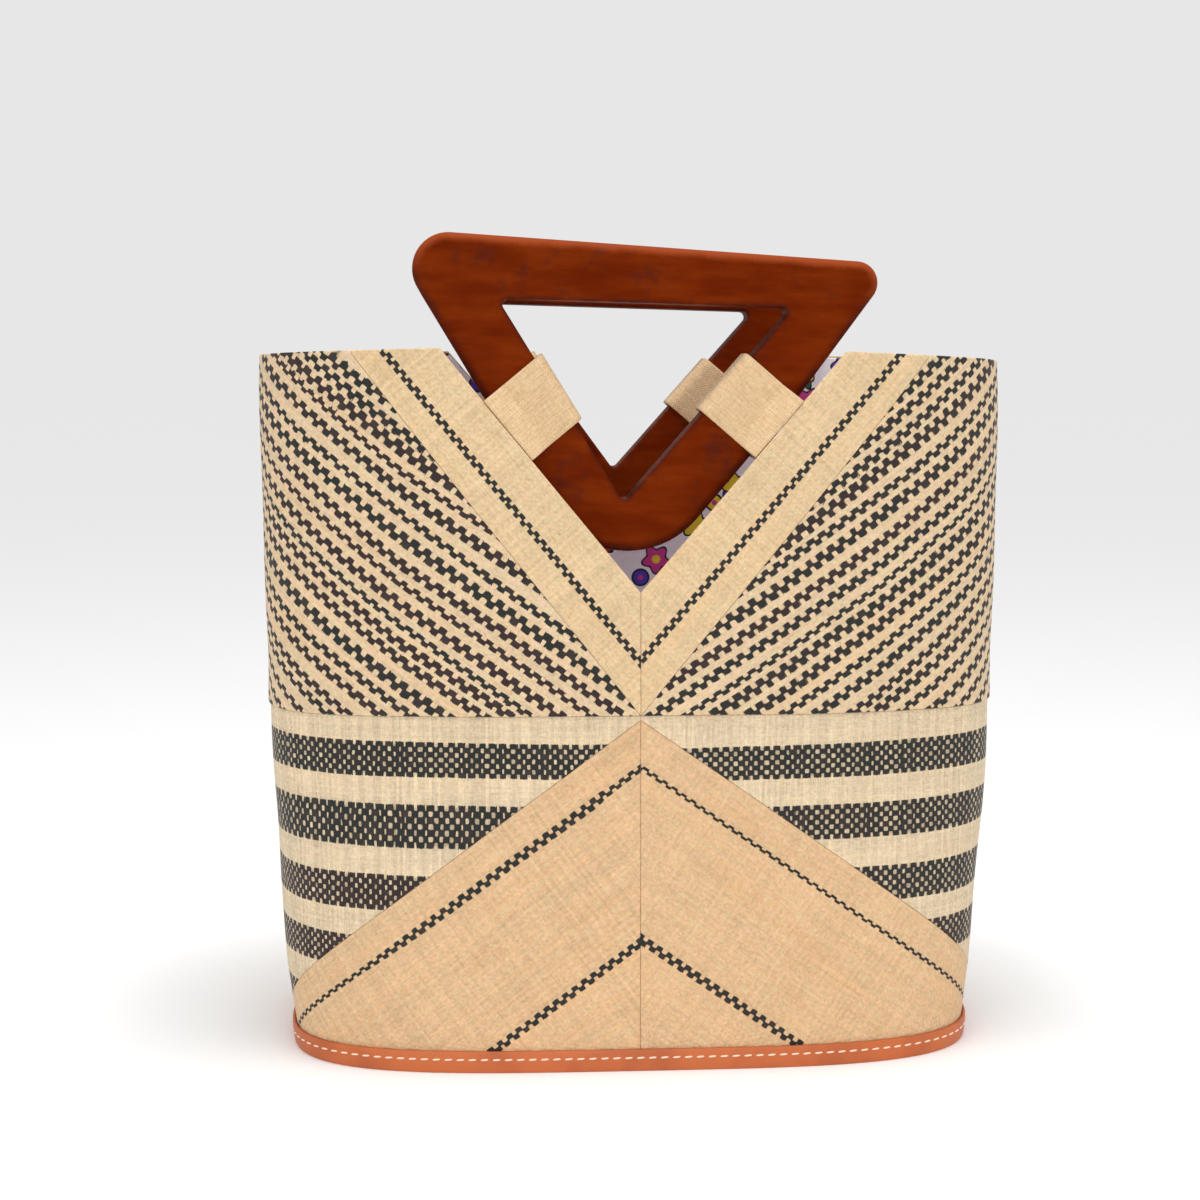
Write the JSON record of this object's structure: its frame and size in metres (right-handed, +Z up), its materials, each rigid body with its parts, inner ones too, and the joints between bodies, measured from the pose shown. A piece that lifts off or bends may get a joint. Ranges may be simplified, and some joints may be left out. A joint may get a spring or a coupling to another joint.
{
  "type": "raffia bucket bag",
  "caption": "Open bucket bag of patchwork raffia cloth with a V notch front and back, two wooden triangle handles in raffia loops, a printed lining and a leather strip round the foot.",
  "frame": {"origin": "on the ground under the middle of the base", "axes": "+Z up, the front looks along -Y, +X to the right as seen from the front"},
  "size_m": [0.3252, 0.1582, 0.3527],
  "materials": {
    "striped_raffia": "natural raffia cloth with slanting rows of black wefts",
    "banded_raffia": "natural raffia cloth with level bands checked black",
    "raffia": "plain natural raffia cloth with thin black lines",
    "loop_raffia": "finely ribbed natural raffia",
    "lining": "pale printed cotton",
    "leather": "smooth tan leather, stitched",
    "wood": "red brown varnish, satin"
  },
  "bodies": {
    "root": {"front_striped_left": "striped_raffia", "front_striped_right": "striped_raffia", "back_striped_left": "striped_raffia", "back_striped_right": "striped_raffia", "front_band_left": "raffia", "front_band_right": "raffia", "back_band_left": "raffia", "back_band_right": "raffia", "front_sides_left": "banded_raffia", "front_sides_right": "banded_raffia", "back_sides_left": "banded_raffia", "back_sides_right": "banded_raffia", "front_chevron_left": "raffia", "front_chevron_right": "raffia", "back_chevron_left": "raffia", "back_chevron_right": "raffia", "lining": "lining", "base": "leather", "leather_strip": "leather", "handle_front": "wood", "handle_back": "wood", "loop_front_left": "loop_raffia", "loop_front_right": "loop_raffia", "loop_back_left": "loop_raffia", "loop_back_right": "loop_raffia"}
  },
  "joints": []
}
